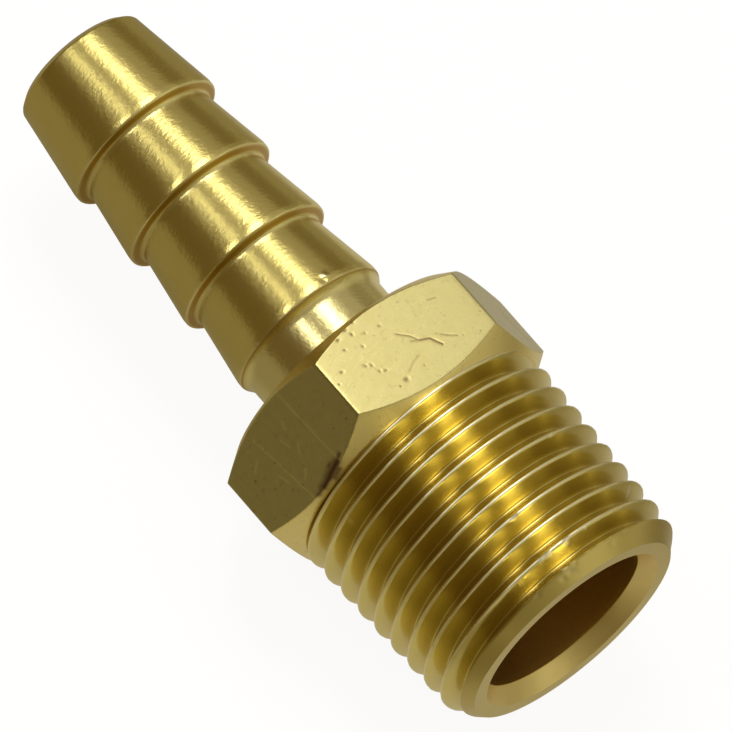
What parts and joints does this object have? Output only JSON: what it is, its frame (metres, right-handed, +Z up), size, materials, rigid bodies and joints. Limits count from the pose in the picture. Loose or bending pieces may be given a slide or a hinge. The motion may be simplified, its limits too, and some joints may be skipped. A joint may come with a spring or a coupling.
{
  "type": "fuel line connector",
  "caption": "Turned brass connector: a tapered male pipe thread at one end, a hexagon for a wrench, and a ridged barb for a push-on hose, with a passage through.",
  "frame": {"origin": "middle of the length and width, on the plane of the hexagon flat that the connector lies on", "axes": "+X along the turning axis towards the hose tip, +Z up, square to the upper flat of the hexagon"},
  "size_m": [0.057, 0.0256, 0.0222],
  "materials": {
    "brass": "satin turned brass, flats matte from the bar, threads bright"
  },
  "bodies": {
    "root": {"connector_body": "brass"}
  },
  "joints": []
}
